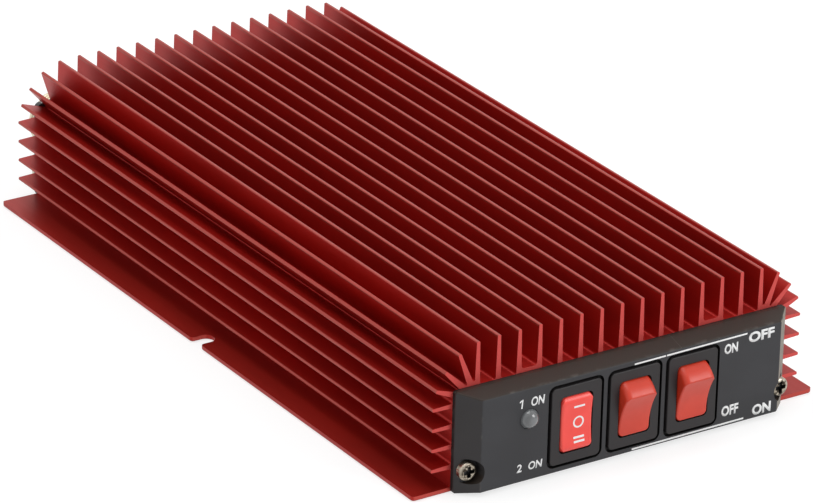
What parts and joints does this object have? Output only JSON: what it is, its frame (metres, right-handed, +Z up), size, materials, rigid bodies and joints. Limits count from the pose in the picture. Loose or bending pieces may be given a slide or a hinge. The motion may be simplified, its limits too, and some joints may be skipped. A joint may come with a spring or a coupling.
{
  "type": "hf linear amplifier",
  "caption": "Flat finned radio-frequency power amplifier with rocker switches and a lamp on a sloped front panel and coaxial sockets behind.",
  "frame": {"origin": "centre of the base plate's underside, which is the face it stands on", "axes": "+Z up, the front panel faces -Y, the sockets face +Y, +X is to the right seen from the front"},
  "size_m": [0.1148, 0.2204, 0.0373],
  "materials": {
    "case_red": "red baked paint on an aluminium extrusion",
    "base_red": "red baked paint on sheet steel",
    "panel_black": "fine-textured black moulding",
    "switch_black": "satin black moulding",
    "rocker_red": "satin red moulding",
    "screw_nickel": "nickel-plated steel",
    "spring_steel": "spring steel",
    "brass": "brass",
    "copper_wire": "enamelled copper wire",
    "tinned": "tinned metal",
    "lamp_clear": "water-clear moulding",
    "board_green": "printed board",
    "header_black": "black moulding",
    "ferrite": "ferrite",
    "relay_shell": "moulded cover",
    "can_blue": "sleeved aluminium can",
    "disc_tan": "dipped ceramic",
    "resistor_body": "lacquered ceramic",
    "transistor_black": "moulded package on a metal tab",
    "pad_grey": "heat-conducting pad",
    "trimmer_blue": "moulded body",
    "rotor_white": "moulded rotor",
    "rear_black": "black painted aluminium",
    "socket_nickel": "nickel-plated brass",
    "insulator_white": "white insulating plastic",
    "gland_black": "black rubber"
  },
  "bodies": {
    "case": {"heatsink_cover": "case_red", "base_plate": "base_red", "base_screws": "screw_nickel", "front_panel": "panel_black", "front_panel_screws": "screw_nickel", "preamp_switch_body": "switch_black", "preamp_terminals": "tinned", "mode_switch_body": "switch_black", "mode_terminals": "tinned", "power_switch_body": "switch_black", "power_terminals": "tinned", "status_lamp": "lamp_clear", "lamp_leads": "tinned", "front_board": "board_green", "header_strip": "header_black", "header_pins": "tinned", "output_transformer_sleeves": "ferrite", "output_transformer_frame": "brass", "output_transformer_winding": "copper_wire", "input_transformer_core": "ferrite", "input_transformer_winding": "copper_wire", "supply_choke_core": "ferrite", "supply_choke_winding": "copper_wire", "bias_trimmer_body": "trimmer_blue", "relays": "relay_shell", "can_capacitors": "can_blue", "disc_capacitors": "disc_tan", "filter_coils": "copper_wire", "resistors": "resistor_body", "power_transistors": "transistor_black", "transistor_pads": "pad_grey", "transistor_screws": "screw_nickel", "board_spacers": "brass", "board_screws": "screw_nickel", "main_board": "board_green", "rear_panel": "rear_black", "rear_panel_screws": "screw_nickel", "antenna_socket_shell": "socket_nickel", "radio_socket_shell": "socket_nickel", "socket_nuts": "socket_nickel", "socket_insulators": "insulator_white", "socket_contacts": "brass", "socket_links": "tinned", "lead_gland": "gland_black"},
    "preamp_rocker": {"preamp_rocker": "rocker_red", "preamp_plunger": "brass", "preamp_plunger_spring": "spring_steel"},
    "preamp_contact_blade": {"preamp_contact_blade": "brass"},
    "mode_rocker": {"mode_rocker": "rocker_red", "mode_plunger": "brass", "mode_plunger_spring": "spring_steel"},
    "mode_contact_blade": {"mode_contact_blade": "brass"},
    "power_rocker": {"power_rocker": "rocker_red", "power_plunger": "brass", "power_plunger_spring": "spring_steel"},
    "power_contact_blade": {"power_contact_blade": "brass"},
    "bias_trimmer_rotor": {"bias_trimmer_rotor": "rotor_white"}
  },
  "joints": [
    {"name": "preamp_rocker_tilt", "type": "hinge", "parent": "case", "child": "preamp_rocker", "pos_m": [-0.0163, -0.1, 0.013], "axis": [-1, 0, 0], "range_deg": [-10, 10]},
    {"name": "preamp_blade_tilt", "type": "hinge", "parent": "case", "child": "preamp_contact_blade", "pos_m": [-0.0163, -0.0912, 0.013], "axis": [-1, 0, 0], "range_deg": [-5, 5]},
    {"name": "mode_rocker_tilt", "type": "hinge", "parent": "case", "child": "mode_rocker", "pos_m": [0.0003, -0.1, 0.013], "axis": [-1, 0, 0], "range_deg": [0, 32]},
    {"name": "mode_blade_tilt", "type": "hinge", "parent": "case", "child": "mode_contact_blade", "pos_m": [0.0003, -0.0912, 0.013], "axis": [-1, 0, 0], "range_deg": [-16, 0]},
    {"name": "power_rocker_tilt", "type": "hinge", "parent": "case", "child": "power_rocker", "pos_m": [0.0169, -0.1, 0.013], "axis": [-1, 0, 0], "range_deg": [0, 32]},
    {"name": "power_blade_tilt", "type": "hinge", "parent": "case", "child": "power_contact_blade", "pos_m": [0.0169, -0.0912, 0.013], "axis": [-1, 0, 0], "range_deg": [-16, 0]},
    {"name": "bias_trimmer_turn", "type": "hinge", "parent": "case", "child": "bias_trimmer_rotor", "pos_m": [-0.025, -0.07, 0.0142], "axis": [0, 0, -1], "range_deg": [-130, 130]}
  ],
  "couplings": [
    {"joint": "preamp_blade_tilt", "follows": "preamp_rocker_tilt", "ratio": -0.5},
    {"joint": "mode_blade_tilt", "follows": "mode_rocker_tilt", "ratio": -0.5},
    {"joint": "power_blade_tilt", "follows": "power_rocker_tilt", "ratio": -0.5}
  ]
}
